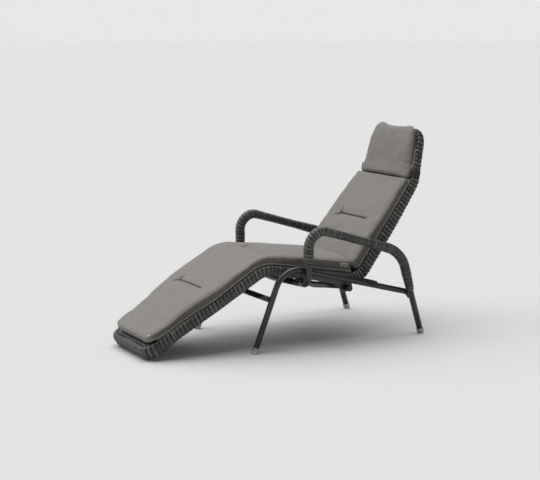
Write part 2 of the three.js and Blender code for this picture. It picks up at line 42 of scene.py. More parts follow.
# ---------- sizes, in millimetres, in the frame's axes ----------
MM = 0.001
SIDES = [("left", 1), ("right", -1)]
SIDE_X, UPRIGHT_X, ARM_X = 320, 351.5, 354
FRONT_FOOT, REAR_FOOT = (313, -269), (352, 705)  # (x, y) of the legs' ends on the floor
SIDE_KNEE, SIDE_REAR, SIDE_END = (-110, 419), (640, 219), (651, 193)  # from here on (y, z)
REAR_SHOULDER, ARM_FRONT = (567, 441), (15, 608)
CROSSBAR, PIVOT, STOP_PEG = (-175, 257), (271, 276), (389, 346)
SIDE_TUBE, ARM_TUBE, REAR_BOW_TUBE, CROSSBAR_TUBE = 30, 32, 33, 28  # diameters
SHOULDER_BEND, ARM_BEND = 165, 78  # bend radii of the arm tube
BOW_SIDE_Z, BOW_MIDDLE_Z = 321, 301
REAR_BOW_Y = 242
FOOT_LOW = 9.3  # the tubes end this high, inside their glides
GLIDE_RADIUS, GLIDE_TOP = 17.4, 11.5
PROFILE = [(-783, 43, 0), (-183, 404, 150), (371, 304, 95), (732, 776, 130), (792, 1032, 0)]
RAIL_WIDTH, RAIL_DEPTH = 38, 46
WIDEST, WIDEST_HALF = 1050, 280  # where the shell is widest, and half its width there
FOOT_BEND, HEAD_BEND = 55, 70  # bends of the rails' centre line at the two ends
BACK_LINE_S = 1304.4  # where the straight back begins


# ---------- small maths ----------
def unit(v):
    v = np.asarray(v, float)
    return v / np.maximum(np.linalg.norm(v, axis=-1, keepdims=True), 1e-12)


def clamp(v):
    return np.clip(v, 0, 1)


def smooth(a, b, x):
    t = clamp((np.asarray(x, float) - a) / (b - a))
    return t * t * (3 - 2 * t)


def bell(x, middle, spread):
    return np.exp(-((x - middle) / spread) ** 2)


def random_of(k):
    """A repeatable value from 0 to 1 for each whole number."""
    v = np.sin(np.asarray(k, float) * 12.9898 + 4.1) * 43758.5453
    return v - np.floor(v)


def lumps(x, y, size, seed):
    """Smooth repeatable unevenness, from about -1 to 1."""
    total = 0
    for k, (ax, ay) in enumerate([(1, 0.3), (-0.5, 1.1), (0.8, -0.9), (1.4, 0.7), (-1.1, 0.6)]):
        total = total + np.sin((ax * x + ay * y) * 2 * np.pi / size + seed + 1.7 * k)
    return total / 3


def bent(corners, step=4.0):
    """Corner points, each with a bend radius, as one line with round bends."""
    points = [np.array(c[0], float) for c in corners]
    line = [points[0]]
    for before, here, after, (_, radius) in zip(points, points[1:], points[2:], corners[1:]):
        back, on = unit(before - here), unit(after - here)
        turn = math.pi - math.acos(float(np.clip(back @ on, -1, 1)))
        start = here + back * radius * math.tan(turn / 2)
        centre = here + unit(back + on) * radius / math.cos(turn / 2)
        axis = Vector(np.cross(back, on)).normalized()
        steps = max(3, math.ceil(math.degrees(turn) / step))
        for k in range(steps + 1):
            arm = Vector(start - centre)
            arm.rotate(Matrix.Rotation(-turn * k / steps, 3, axis))
            line.append(centre + np.array(arm))
    line.append(points[-1])
    return np.array(line)


def distances(line):
    """How far along a line each of its points lies."""
    return np.r_[0, np.cumsum(np.linalg.norm(np.diff(line, axis=0), axis=1))]


def respaced(line, spacing):
    """The same line with points at even distances, and those distances."""
    far = distances(line)
    at = np.linspace(0, far[-1], max(2, int(round(far[-1] / spacing)) + 1))
    return np.stack([np.interp(at, far, line[:, k]) for k in range(3)], 1), at


# ---------- the shell's surface ----------
# x across, s along from the foot, n above the rails' centre
_line, _far = respaced(bent([((0, y, z), r) for y, z, r in PROFILE], 1.5), 2.0)
LENGTH = _far[-1]


def rail_line(s):
    """Centre line of the rails and its direction, in (y, z); straight on past both ends."""
    s = np.asarray(s, float)
    inside = np.clip(s, 1, LENGTH - 1)
    y, z = (np.interp(inside, _far, _line[:, k]) for k in (1, 2))
    lo, hi = np.clip(inside - 3, 0, LENGTH), np.clip(inside + 3, 0, LENGTH)
    dy, dz = (np.interp(hi, _far, _line[:, k]) - np.interp(lo, _far, _line[:, k]) for k in (1, 2))
    size = np.hypot(dy, dz)
    dy, dz = dy / size, dz / size
    return y + (s - inside) * dy, z + (s - inside) * dz, dy, dz


def on_shell(x, s, n):
    y, z, dy, dz = rail_line(s)
    return np.stack([x + 0 * y, y - n * dz, z + n * dy], -1)


def on_seat(x, s, n):
    """As on_shell, with the seat pad's rear end slanting back into the bend below."""
    lower = clamp(1 - (n - rail_depth(s) / 2) / 55) * smooth(1165, 1214, s)
    return on_shell(x, s + 20 * lower, n)


def on_back(x, s, n):
    """As on_shell, but the back's straight line runs on down instead of turning to the seat."""
    held = np.maximum(s, BACK_LINE_S)
    y, z, dy, dz = rail_line(held)
    y, z = y + (s - held) * dy, z + (s - held) * dz
    return np.stack([x + 0 * y, y - n * dz, z + n * dy], -1)


def on_head(x, s, n):
    """As on_shell, with the pillow's upper edge wavy: high at the corners and low between."""
    ears = 13.0 * bell(x, -128, 40) + 6.0 * bell(x, 130, 50) + 10.0
    return on_shell(x, s + ears * smooth(2030, 2120, s), n)


def half_width(s):
    """Half the shell's outer width, which narrows towards both ends."""
    s = np.asarray(s, float)
    low = WIDEST_HALF - 62 * (np.abs(WIDEST - s) / WIDEST) ** 2.6
    high = WIDEST_HALF - 58 * (np.abs(s - WIDEST) / (LENGTH - WIDEST)) ** 2.45
    return np.where(s < WIDEST, low, high)


def rail_depth(s):
    """The rails are deepest at the foot bar and shallowest at the head."""
    foot, head = np.interp(s, [0, 150], [74, 46]), np.interp(s, [1600, 1850], [46, 34])
    return np.where(np.asarray(s) < 150, foot, head)


def rail_centre(s):
    return half_width(s) - RAIL_WIDTH / 2


# ---------- making pieces ----------
def in_scene(name, data):
    item = bpy.data.objects.new(name, data)
    scene.collection.objects.link(item)
    return item


def mesh_object(name, points, faces):
    mesh = bpy.data.meshes.new(name)
    mesh.from_pydata(points.tolist(), [], faces)
    return in_scene(name, mesh)


def make(name, points, faces, material, body, stands_for=(), fields=None):
    """A piece from points in millimetres, riding on a body."""
    piece = mesh_object(name, points * MM, faces)
    mesh = piece.data
    mesh.polygons.foreach_set("use_smooth", [True] * len(mesh.polygons))
    for field, values in (fields or {}).items():
        kind, part = ("FLOAT_VECTOR", "vector") if np.ndim(values) == 2 else ("FLOAT", "value")
        attribute = mesh.attributes.new(field, kind, "POINT")
        attribute.data.foreach_set(part, np.ravel(values).astype(np.float32))
    mesh.materials.append(material)
    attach(piece, body)
    if stands_for:
        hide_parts(*stands_for)
    return piece


def ring_faces(rings, sides):
    """Quads between rings of points, and fans to the two end points that follow the rings."""
    i, j = np.meshgrid(np.arange(rings - 1), np.arange(sides), indexing="ij")
    here, beside = i * sides + j, i * sides + (j + 1) % sides
    faces = np.stack([here, beside, beside + sides, here + sides], -1).reshape(-1, 4).tolist()
    first_end, last = rings * sides, (rings - 1) * sides
    for k in range(sides):
        m = (k + 1) % sides
        faces += [[first_end, m, k], [first_end + 1, last + k, last + m]]
    return faces


def grid_quads(index):
    """Quads over a grid of point numbers."""
    corners = [index[:-1, :-1], index[:-1, 1:], index[1:, 1:], index[1:, :-1]]
    return np.stack(corners, -1).reshape(-1, 4)


def border(index):
    """The point numbers round the edge of a grid."""
    return np.r_[index[0], index[1:, -1], index[-1, -2::-1], index[-2:0:-1, 0]]


def slab_faces(rows, columns):
    """Faces of a closed slab, whose points are a grid in front and then a grid behind."""
    behind = rows * columns
    index = np.arange(behind).reshape(rows, columns)
    front, edge = grid_quads(index), border(index)
    after = np.roll(edge, -1)
    sides = np.stack([edge, edge + behind, after + behind, after], -1)
    return np.vstack([front, front[:, ::-1] + behind, sides]).tolist()


def angles(sides):
    return (np.arange(sides) + 0.5) * 2 * np.pi / sides


def sweep(line, second, a, b):
    """Rings round a line: a and b are offsets along the first and second axis, one row a ring."""
    along = unit(np.gradient(line, axis=0))
    second = np.broadcast_to(np.asarray(second, float), line.shape)
    second = unit(second - (second * along).sum(1, keepdims=True) * along)
    first = np.cross(second, along)
    points = line[:, None] + a[..., None] * first[:, None] + b[..., None] * second[:, None]
    return np.vstack([points.reshape(-1, 3), line[:1], line[-1:]]), ring_faces(*a.shape)


def round_section(rings, sides, radius):
    radius = np.broadcast_to(np.asarray(radius, float), (rings,))[:, None]
    return radius * np.cos(angles(sides)), radius * np.sin(angles(sides))


def tube(name, node, corners, diameter, second, step=4.0):
    """A painted tube of the base with round bends, in place of a CAD node."""
    line = bent(corners, step)
    points, faces = sweep(line, second, *round_section(len(line), 32, diameter / 2))
    make(name, points, faces, PAINT, "base", [node])


def turned(name, ends, profile, material, body, stands_for=(), sides=40, flutes=None):
    """A turned piece between two end points: profile is (share of the way, radius) pairs.
    flutes is (count, depth, from share) of grooves along it."""
    start, end = np.array(ends, float)
    shares, radii = np.array(profile, float).T
    line = start + np.outer(shares, end - start)
    axis = unit(end - start)
    first = unit(np.cross(axis, [0.3, 0.9, 0.2]))
    second = np.cross(axis, first)
    angle = angles(sides)
    radius = np.repeat(radii[:, None], sides, 1)
    if flutes:
        count, depth, begins = flutes
        groove = clamp(np.cos(count * angle) * 1.6 - 0.4) ** 1.5
        fluted = (shares >= begins) & (radii > depth * 3)
        radius = radius - depth * groove[None] * fluted[:, None]
    spokes = np.cos(angle)[:, None] * first + np.sin(angle)[:, None] * second
    points = (line[:, None] + radius[..., None] * spokes).reshape(-1, 3)
    points = np.vstack([points, line[:1], line[-1:]])
    piece = make(name, points, ring_faces(len(profile), sides), material, body, stands_for)
    piece.data.set_sharp_from_angle(angle=math.radians(35))


# ---------- materials ----------
class Nodes:
    """The node tree of a new material, or of the world, built with short calls."""

    def __init__(self, name, owner=None, shader="Principled BSDF"):
        self.owner = owner or bpy.data.materials.new(name)
        self.owner.use_nodes = True
        self.tree = self.owner.node_tree
        self.shader = self.tree.nodes[shader]

    def put(self, socket, value):
        if isinstance(value, bpy.types.NodeSocket):
            self.tree.links.new(value, socket)
        else:
            socket.default_value = (*value, 1.0) if socket.type == "RGBA" else value

    def add(self, kind, output, inputs=(), **settings):
        """A new node's output."""
        node = self.tree.nodes.new("ShaderNode" + kind)
        for key, value in settings.items():
            setattr(node, key, value)
        for key, value in dict(inputs).items():
            self.put(node.inputs[key], value)
        return node.outputs[output]

    def finish(self, **inputs):
        """Set the shader's own inputs, and give the material."""
        for key, value in inputs.items():
            self.put(self.shader.inputs[key.replace("_", " ")], value)
        return self.owner

    def place(self, output="Object"):
        return self.add("TexCoord", output)

    def field(self, name, output="Fac"):
        settings = {"attribute_name": name, "attribute_type": "GEOMETRY"}
        return self.add("Attribute", output, **settings)

    def stretched(self, vector, scale):
        return self.add("Mapping", "Vector", {"Vector": vector, "Scale": scale})

    def noise(self, vector, scale, detail=3.0, roughness=0.55):
        inputs = {"Vector": vector, "Scale": scale, "Detail": detail, "Roughness": roughness}
        return self.add("TexNoise", "Fac", inputs)

    def wave(self, vector, scale, direction, distortion):
        inputs = {"Vector": vector, "Scale": scale, "Distortion": distortion, "Detail": 1.0}
        return self.add("TexWave", "Fac", inputs, bands_direction=direction)

    def ramp(self, value, low, high, to_low=0.0, to_high=1.0):
        keys = "Value", "From Min", "From Max", "To Min", "To Max"
        return self.add("MapRange", "Result", zip(keys, (value, low, high, to_low, to_high)))

    def maths(self, how, a, b):
        return self.add("Math", 0, {0: a, 1: b}, operation=how)

    def times(self, a, b):
        return self.maths("MULTIPLY", a, b)

    def mix(self, factor, a, b):
        inputs = {"Factor": factor, "A": a, "B": b}
        return self.add("Mix", "Result", inputs, data_type="RGBA")

    def bump(self, height, distance, strength):
        inputs = {"Height": height, "Distance": distance, "Strength": strength}
        return self.add("Bump", "Normal", inputs)


def paint_material():
    """Powder coat: fine orange peel, faint cloudiness and a few duller rubbed patches."""
    m = Nodes("powder_coat")
    where = m.place()
    peel = m.noise(where, 900, 2)
    cloud = m.noise(where, 14, 4)
    rubbed = m.ramp(m.noise(where, 38, 5, 0.7), 0.56, 0.72)
    colour = m.mix(cloud, (0.011, 0.0115, 0.0105), (0.020, 0.021, 0.019))
    colour = m.mix(m.times(rubbed, 0.35), colour, (0.034, 0.035, 0.032))
    return m.finish(Base_Color=colour, Roughness=m.ramp(cloud, 0.3, 0.7, 0.20, 0.30),
                    Normal=m.bump(peel, 0.0002, 0.3), Specular_IOR_Level=0.6)


def wicker_material():
    """Round resin strands: each a little different, with faint lengthwise grain, a painted
    highlight on the crests and painted shade in the grooves."""
    m = Nodes("resin_wicker")
    strand, deep = m.field("strand"), m.field("deep")
    grain = m.noise(m.stretched(m.field("weave", "Vector"), (0.3, 4.0, 1.0)), 1.1, 3)
    colour = m.mix(strand, (0.018, 0.019, 0.016), (0.066, 0.068, 0.059))
    colour = m.mix(m.ramp(grain, 0.35, 0.75, 0.0, 0.35), colour, (0.100, 0.102, 0.090))
    # painted highlight: the crests of the lighter strands are mixed towards pale grey
    painted_crest_highlight = m.times(m.ramp(deep, 0.0, 0.2, 0.85, 0.0), m.ramp(strand, 0.15, 0.8))
    colour = m.mix(painted_crest_highlight, colour, (0.185, 0.188, 0.170))
    # painted shade: the grooves, pockets and gaps between lobes are mixed towards near black
    colour = m.mix(m.ramp(deep, 0.0, 0.8, 0.0, 0.95), colour, (0.004, 0.004, 0.0035))
    return m.finish(Base_Color=colour, Roughness=m.ramp(grain, 0.3, 0.7, 0.32, 0.48),
                    Normal=m.bump(grain, 0.0003, 0.4), Specular_IOR_Level=0.45)


def fabric_material(name, light, dark):
    """Outdoor cloth: a plain weave of mixed light and dark yarns, slightly slubbed, with painted
    shade on the sides and in the folds."""
    m = Nodes(name)
    flat = m.field("flat", "Vector")
    warp, weft = (m.wave(flat, 2.1, direction, 0.4) for direction in "XY")
    slub_x, slub_y = (m.noise(m.stretched(flat, scale), 1.0, 3, 0.7)
                      for scale in ((2.4, 0.12, 1.0), (0.12, 2.4, 1.0)))
    heather = m.maths("ADD", m.times(slub_x, 0.5), m.times(slub_y, 0.5))
    broad = m.noise(flat, 0.012, 3)
    colour = m.mix(m.ramp(heather, 0.36, 0.64), dark, light)
    colour = m.mix(m.ramp(broad, 0.3, 0.7, 0.0, 0.16), colour, (0.175, 0.163, 0.153))
    # painted shade: the side mask darkens faces turned sideways, and the fold mask darkens seams
    # and creases
    for field, share, shadow in (("side", 0.7, (0.065, 0.060, 0.055)),
                                 ("fold", 0.85, (0.030, 0.027, 0.025))):
        colour = m.mix(m.times(m.field(field), share), colour, shadow)
    threads = m.maths("MAXIMUM", warp, weft)
    height = m.maths("ADD", m.times(threads, 0.6), m.times(heather, 0.5))
    return m.finish(Base_Color=colour, Roughness=m.ramp(heather, 0.3, 0.7, 0.86, 0.96),
                    Normal=m.bump(height, 0.0006, 0.55), Specular_IOR_Level=0.2,
                    Sheen_Weight=0.12, Sheen_Roughness=0.5)


def band_material():
    """Dark ribbed elastic band."""
    m = Nodes("elastic_band")
    where = m.place()
    ribs = m.wave(where, 240, "Z", 0.2)
    fuzz = m.noise(where, 1500, 2)
    colour = m.mix(fuzz, (0.016, 0.015, 0.014), (0.034, 0.032, 0.03))
    return m.finish(Base_Color=colour, Roughness=0.9, Normal=m.bump(ribs, 0.0006, 0.6))


def plastic_material(name, low, high, rough=(0.45, 0.6), grain=1400, depth=0.00015):
    """Moulded plastic: fine spark-eroded grain and light scuffs."""
    m = Nodes(name)
    where = m.place()
    fine = m.noise(where, grain, 2)
    scuffs = m.ramp(m.noise(m.stretched(where, (60, 60, 900)), 1.0, 4, 0.7), 0.58, 0.75)
    scuffed = tuple(min(1, c * 1.6) for c in high)
    colour = m.mix(m.noise(where, 45, 3), low, high)
    colour = m.mix(m.times(scuffs, 0.3), colour, scuffed)
    return m.finish(Base_Color=colour, Roughness=m.ramp(fine, 0.3, 0.7, *rough),
                    Normal=m.bump(fine, depth, 0.6))


def steel_material():
    """Turned stainless steel: fine rings of tool marks, a few dull spots."""
    m = Nodes("turned_steel")
    where = m.place()
    marks = m.noise(m.stretched(where, (40, 40, 1800)), 1.0, 3, 0.6)
    colour = m.mix(m.noise(where, 160, 4), (0.24, 0.24, 0.23), (0.40, 0.395, 0.38))
    return m.finish(Base_Color=colour, Metallic=1.0, Roughness=m.ramp(marks, 0.3, 0.7, 0.26, 0.42),
                    Normal=m.bump(marks, 0.0001, 0.3))


PAINT = paint_material()
WICKER = wicker_material()
FABRIC = fabric_material("heather_fabric", (0.320, 0.299, 0.282), (0.146, 0.136, 0.128))
PIPING = fabric_material("piping_fabric", (0.30, 0.28, 0.26), (0.22, 0.205, 0.19))
LABEL = fabric_material("label_fabric", (0.24, 0.225, 0.21), (0.18, 0.17, 0.16))
LABEL_EDGE = fabric_material("label_edge", (0.44, 0.42, 0.40), (0.36, 0.345, 0.33))
BAND = band_material()
KNOB = plastic_material("black_plastic", (0.010, 0.010, 0.011), (0.018, 0.018, 0.019))
GLIDE = plastic_material("beige_plastic", (0.38, 0.34, 0.25), (0.50, 0.455, 0.35),
                         (0.5, 0.65))
RUBBER = plastic_material("black_rubber", (0.010, 0.010, 0.010), (0.017, 0.017, 0.016),
                          (0.75, 0.9), 600, 0.0003)
STEEL = steel_material()

# every CAD node has the finish of its kind, including those that a finer piece stands for
FINISHES = (
    (("wicker", "weave"), WICKER), (("cushion", "pillow"), FABRIC),
    (("front_stop", "rear_stop", "peg"), RUBBER), (("ferrule", "bolt", "washer"), STEEL),
    (("knob", "spacer"), KNOB), (("glide",), GLIDE), (("",), PAINT),
)
for node_name, node in CAD.items():
    node.data.materials.clear()
    node.data.materials.append(next(finish for words, finish in FINISHES
                                    if any(word in node_name for word in words)))


# ---------- base: bent tubes ----------
def at_height(foot, corner, z):
    """The point at a height on the line from a foot to the corner above it."""
    foot, corner = np.array(foot, float), np.array(corner, float)
    return foot + (corner - foot) * z / corner[2]


def on_floor(side, foot):
    return (side * foot[0], foot[1], 0)


def bow_height(x):
    """Height of the front bow's centre line at a distance from its middle."""
    return BOW_MIDDLE_Z + (BOW_SIDE_Z - BOW_MIDDLE_Z) * x / UPRIGHT_X


for label, side in SIDES:
    knee, shoulder = (side * SIDE_X, *SIDE_KNEE), (side * ARM_X, *REAR_SHOULDER)
    tube(f"side_tube_smooth_{label}", f"side_tube_{label}", [
        (at_height(on_floor(side, FRONT_FOOT), knee, FOOT_LOW), 0), (knee, 120),
        ((side * SIDE_X, *SIDE_REAR), 44), ((side * (SIDE_X + 7), *SIDE_END), 0),
    ], SIDE_TUBE, (1, 0, 0))
    tube(f"arm_tube_smooth_{label}", f"arm_tube_{label}", [
        (at_height(on_floor(side, REAR_FOOT), shoulder, FOOT_LOW), 0), (shoulder, SHOULDER_BEND),
        ((side * ARM_X, *ARM_FRONT), ARM_BEND), ((side * UPRIGHT_X, ARM_FRONT[0], BOW_SIDE_Z), 45),
        ((side * 285, ARM_FRONT[0], bow_height(285)), 0),
    ], ARM_TUBE, (0.02, 1, 0.3))

tube("front_bow_smooth", "front_bow", [
    ((x, ARM_FRONT[0], bow_height(abs(x))), bend) for x, bend in ((284.7, 0), (0, 900), (-284.7, 0))
], ARM_TUBE, (0, 1, 0), 0.5)
REAR_BOW = ((296, 288, 0), (165, 269, 260), (0, 242, 420), (-165, 269, 260), (-296, 288, 0))
tube("rear_bow_smooth", "rear_bow", [((x, REAR_BOW_Y, z), bend) for x, z, bend in REAR_BOW],
     REAR_BOW_TUBE, (0, 1, 0), 1.0)
tube("front_crossbar_smooth", "front_crossbar", [((x, *CROSSBAR), 0) for x in (303, -303)],
     CROSSBAR_TUBE, (0, 1, 0))
# weld beads where the bar meets the legs
round_bar = np.linspace(0, 2 * np.pi, 49)
for label, side in SIDES:
    bar_y, bar_z = CROSSBAR
    ring = np.stack([0 * round_bar + side * 301.5, bar_y + 14.2 * np.cos(round_bar),
                     bar_z + 14.2 * np.sin(round_bar)], 1)
    bead = 2.0 + 0.25 * np.sin(np.arange(len(ring)) * 1.9)
    points, faces = sweep(ring, (side, 0, 0), *round_section(len(ring), 10, bead))
    make(f"crossbar_weld_{label}", points, faces, PAINT, "base")

# (share of the way up, cut below the outer radius) of a ferrule
FERRULE = [(0, 0.8), (0.03, 0.2), (0.07, 0), (0.16, 0), (0.18, 0.5), (0.22, 0.5), (0.24, 0),
           (0.86, 0), (0.95, 0.5), (1, 1.4)]
# (share of the radius, height) down a glide
GLIDE_LAYERS = [(0.93, GLIDE_TOP), (0.97, 10.8), (1.0, 9.0), (1.0, 4.5), (0.97, 1.8), (0.92, 0.5),
                (0.86, 0.0)]
GLIDE_SIDES = 40
for end, foot, corner, diameter in (
    ("front", FRONT_FOOT, (SIDE_X, *SIDE_KNEE), SIDE_TUBE),
    ("rear", REAR_FOOT, (ARM_X, *REAR_SHOULDER), ARM_TUBE),
):
    for label, side in SIDES:
        low = np.array(on_floor(side, foot), float)
        top = np.array([side * corner[0], *corner[1:]], float)
        outer = (diameter + 1.2) / 2 + 1.9
        turned(f"{end}_ferrule_turned_{label}", [at_height(low, top, z) for z in (10.5, 28)],
               [(share, outer - cut) for share, cut in FERRULE], STEEL, "base",
               [f"{end}_ferrule_{label}"])
        # the glide's top is square to the leg, and its underside is level on the floor
        angle = np.arange(GLIDE_SIDES) * 2 * np.pi / GLIDE_SIDES
        axis = unit(top - low)
        points = []
        for share, z in GLIDE_LAYERS:
            spokes = GLIDE_RADIUS * share * np.stack([np.cos(angle), np.sin(angle), 0 * angle], 1)
            spokes[:, 2] -= min(1, z / 9) * (spokes[:, :2] @ axis[:2]) / axis[2]
            points.append(at_height(low, top, z) + spokes)
        points = np.vstack(points + [at_height(low, top, GLIDE_TOP), low])
        faces = [[f[0], *f[:0:-1]] for f in ring_faces(len(GLIDE_LAYERS), GLIDE_SIDES)]
        piece = make(f"{end}_glide_moulded_{label}", points, faces, GLIDE, "base",
                     [f"{end}_glide_{label}"])
        piece.data.set_sharp_from_angle(angle=math.radians(50))

# ---------- pivots, knobs and stops ----------
for label, side in SIDES:
    def across(x0, x1, at=PIVOT):
        return (side * x0, *at), (side * x1, *at)

    turned(f"clamp_knob_moulded_{label}", across(306.8, 336.8), [
        (0, 12), (0.02, 13.4), (0.08, 14), (0.24, 14), (0.27, 16.2), (0.33, 17), (0.88, 17),
        (0.95, 16.4), (0.99, 14.5), (1.0, 12.5), (0.985, 10), (0.98, 4),
    ], KNOB, f"knob_{label}", [f"clamp_knob_{label}"], 96, (8, 2.6, 0.3))
    turned(f"knob_washer_turned_{label}", across(304.5, 306.5),
           [(0, 11.6), (0.15, 12), (0.85, 12), (1, 11.6)],
           STEEL, "base", [f"knob_washer_{label}"])
    turned(f"pivot_spacer_moulded_{label}", across(265.3, 298.9), [
        (0, 9.4), (0.03, 10), (0.3, 10), (0.34, 9.2), (0.66, 9.2), (0.7, 10), (0.97, 10), (1, 9.4),
    ], KNOB, "lounge", [f"pivot_spacer_{label}"])
    turned(f"stop_peg_moulded_{label}", across(281, 298, STOP_PEG),
           [(0, 6), (0.8, 6), (0.93, 5.4), (1, 4.2)],
           RUBBER, "lounge", [f"stop_peg_{label}"], 28)

for kind in ("pivot_bracket", "pivot_lug", "pivot_bolt", "front_stop", "rear_stop"):
    for label, _ in SIDES:
        bevel = CAD[f"{kind}_{label}"].modifiers.new("soft_edges", "BEVEL")
        bevel.width = 0.004 if kind == "rear_stop" else 0.0012
        bevel.segments, bevel.limit_method = 3, "ANGLE"
        bevel.angle_limit = math.radians(40)


# ---------- woven sleeves ----------
ARM_PITCH, ARM_WICKER_WIDTH = 8.5, 52.5  # along the arm for each strand, and across the sleeve
ARM_WICKER_ENDS = (238, 408)  # heights of its rear and front ends
LOBE, LOBE_STRANDS, LOBE_GROOVE = 21.6, 3, 1.2  # one turn of the shell's three strands
LOBE_DEPTH, ROUND_LOBE_DEPTH = 4.8, 4.6
RAIL_DROP = 4.5  # the sleeves sit this much lower than their tubes
FOOT_JOINT, HEAD_JOINT = 150, LENGTH - 100  # where the end sleeves meet those of the rails
FOOT_ROUND, FOOT_ROWS, FOOT_STAKE = 190, 20, 14.0  # plait round the foot bar


def round_top(turn):
    """Height, up to 1, of round strands side by side, one for each whole number."""
    place = turn - np.floor(turn)
    return np.sqrt(1 - 0.96 * (2 * place - 1) ** 2)


def wound(u, angle, pitch, strands, groove, lobe, pocket_at=None):
    """Relief of strands wound round a tube, several abreast in each lobe: how far in the surface
    lies, each strand's own shade and how deep in a groove it is."""
    turn = u[:, None] / pitch + strands * angle[None] / (2 * np.pi)
    crest, number = round_top(turn), np.floor(turn)
    in_lobe = turn / strands - np.floor(turn / strands)
    swell = np.abs(np.sin(np.pi * in_lobe)) ** 0.5
    inward = groove * (1 - crest) + lobe * (1 - swell)
    inward = inward + 0.9 * random_of(np.floor(turn / strands)) + 0.4 * random_of(number + 31)
    shade = 0.15 + 0.85 * random_of(number + 7)
    dip = 0.0
    if pocket_at is not None:
        facing = clamp(np.cos(angle[None] - pocket_at))
        dip = bell(np.minimum(in_lobe, 1 - in_lobe), 0, 0.17) * facing ** 4
        inward = inward + 2.8 * dip
    # deep: mask for painted shade in the grooves, the pockets and the gaps between lobes
    deep = 0.7 * dip + 0.65 * clamp(1.1 - crest * 1.2)
    deep = deep + np.minimum(1, lobe / 4) * clamp(1.3 - 1.5 * swell)
    return inward, shade, clamp(deep)


def plaited(u, around, row, stake, groove, lift):
    """Relief of rows of strands that run along, over and under stakes."""
    turn = around / row
    crest, number = round_top(turn), np.floor(turn)
    over = np.cos(np.pi * (u / stake + number))
    inward = groove * (1 - crest) + lift * 0.5 * (1 - over)
    shade = 0.25 + 0.75 * random_of(number * 3 + 5 + 0 * u)
    # deep: mask for painted shade in the grooves and where a row runs under a stake
    deep = clamp(1.2 - crest * 1.2) * 0.8 + 0.7 * clamp(-over) ** 2
    return inward, shade, clamp(deep)


def blended(share, first, second):
    """Two reliefs mixed: all of the first where share is 0, all of the second where it is 1."""
    return [p * (1 - share) + q * share for p, q in zip(first, second)]


def sleeve(name, node, line, second, width, depth, relief, sides, body, soft, spacing=None):
    """A woven sleeve in place of a CAD node. Width is across the second axis and depth along it,
    each a number or found from the distances and points of the line. The smaller soft is, the
    squarer the section."""
    line, u = respaced(line, spacing) if spacing else (line, distances(line))

    def by_ring(size):
        size = size(u, line) if callable(size) else size
        return np.broadcast_to(np.asarray(size, float), (len(line),))[:, None]

    second = second(line) if callable(second) else second
    width, depth = by_ring(width), by_ring(depth)
    angle = angles(sides)
    cos, sin = (np.sign(f) * np.abs(f) ** soft for f in (np.cos(angle), np.sin(angle)))
    a, b = width / 2 * cos, depth / 2 * sin
    inward, shade, deep = relief(u, angle)
    # outward direction of an oval
    na, nb = cos / width, sin / depth
    size = np.hypot(na, nb)
    a, b = a - inward * na / size, b - inward * nb / size
    points, faces = sweep(line, second, a, b)
    weave = np.stack([angle[None] * (width + depth) / 4, u[:, None] + 0 * a, 0 * a], -1)
    with_ends = lambda values: np.r_[np.ravel(np.broadcast_to(values, a.shape)), 0.5, 0.5]
    fields = {"weave": np.vstack([weave.reshape(-1, 3), np.zeros((2, 3))]),
              "strand": with_ends(shade), "deep": with_ends(deep)}
    make(name, points, faces, WICKER, body, [node], fields)


for label, side in SIDES:
    shoulder, front = (side * ARM_X, *REAR_SHOULDER), np.array((side * ARM_X, *ARM_FRONT), float)
    low = np.array((side * UPRIGHT_X, ARM_FRONT[0], BOW_SIDE_Z), float)
    rear_end, front_end = ARM_WICKER_ENDS
    share = (ARM_FRONT[1] - front_end) / (ARM_FRONT[1] - BOW_SIDE_Z)
    line = bent([(at_height(on_floor(side, REAR_FOOT), shoulder, rear_end), 0),
                 (shoulder, SHOULDER_BEND), (front, ARM_BEND),
                 (front + (low - front) * share, 0)], 2)
    # the sleeve rides a little high on the straight arm and proud round the shoulder
    line[:, 2] += 3.0 * smooth(560, 500, line[:, 1]) * smooth(20, 90, line[:, 1])
    line[:, 1:] += 2.0 * (smooth(500, 580, line[:, 1]) * smooth(290, 370, line[:, 2]))[:, None]
    total = distances(line)[-1]

    def arm_relief(u, angle):
        """Lobes stand out on the upright and round the bends, and lie close on the straight arm."""
        lobed = wound(u, angle, ARM_PITCH, 2, 1.5, LOBE_DEPTH)
        inward, shade, deep = wound(u, angle, ARM_PITCH, 1, 2.4, 0.0)
        plain = (0.5 + 0.5 * smooth(355, 425, u)) * (1 - smooth(total - 340, total - 280, u))
        mixed = blended(plain[:, None], lobed, (inward, 0.5 * shade ** 3, deep))
        mixed[0] = mixed[0] + 2.5 * (bell(u, 0, 6) + bell(u, total, 6))[:, None]
        return mixed

    def arm_depth(u, line):
        return np.interp(u, [0, 30, 85, 285, 425, total - 340, total - 200, total],
                         [38, 44, 51, 54, 44, 44, 53, 54])

    sleeve(f"arm_wicker_wound_{label}", f"arm_wicker_{label}", line, (1, 0, 0), arm_depth,
           ARM_WICKER_WIDTH, arm_relief, 40, "base", 0.9, 1.7)


def station(line, every=1):
    """How far along the shell the nearest place on its rails is, to each point of a line."""
    gaps = line[:, None, 1:] - _line[None, ::every, 1:]
    return _far[(gaps ** 2).sum(-1).argmin(1) * every]


def shell_up(line):
    """The shell's upward direction at points near it."""
    _, _, dy, dz = rail_line(station(line, 2))
    return np.stack([0 * dy, -dz, dy], 1)


def shell_depth(u, line):
    s = station(line)
    fuller = np.interp(s, [0, 150, 1200, 1350, 1850, 1950], [-3, 9, 8, 11, 11, 7])
    return rail_depth(s) + fuller


